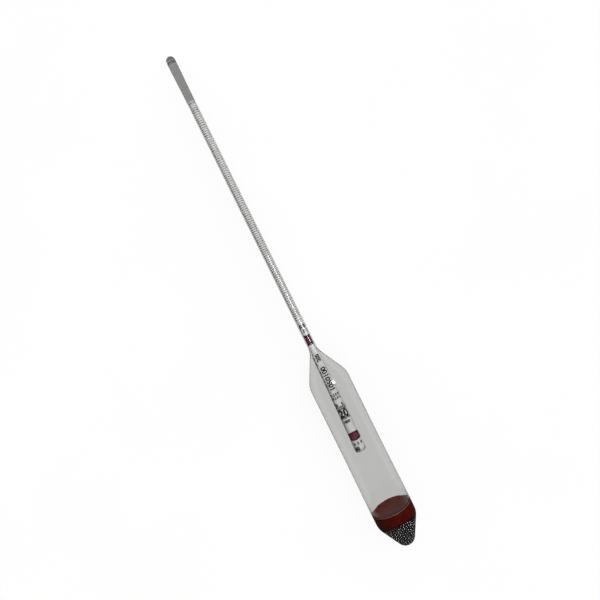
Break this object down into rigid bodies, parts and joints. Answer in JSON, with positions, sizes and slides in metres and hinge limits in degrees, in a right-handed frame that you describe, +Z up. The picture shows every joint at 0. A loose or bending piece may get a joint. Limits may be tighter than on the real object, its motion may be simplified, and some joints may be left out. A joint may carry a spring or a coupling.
{
  "type": "hydrometer",
  "caption": "Glass hydrometer with a weighted bulb, wax-sealed shot and a narrow stem holding a rolled paper density scale.",
  "frame": {"origin": "on the surface the bulb lies on, under the middle of the instrument's length", "axes": "+X along the centre line towards the tip of the stem, +Z up from the surface"},
  "size_m": [0.328, 0.0256, 0.0256],
  "materials": {
    "glass": "gloss",
    "paper": "matte",
    "adhesive": "satin",
    "shot": "polished",
    "wax": "gloss"
  },
  "bodies": {
    "root": {"glass_bulb": "glass", "glass_stem": "glass", "scale_paper": "paper", "scale_adhesive": "adhesive", "ballast_shot": "shot", "wax_seal": "wax"}
  },
  "joints": []
}
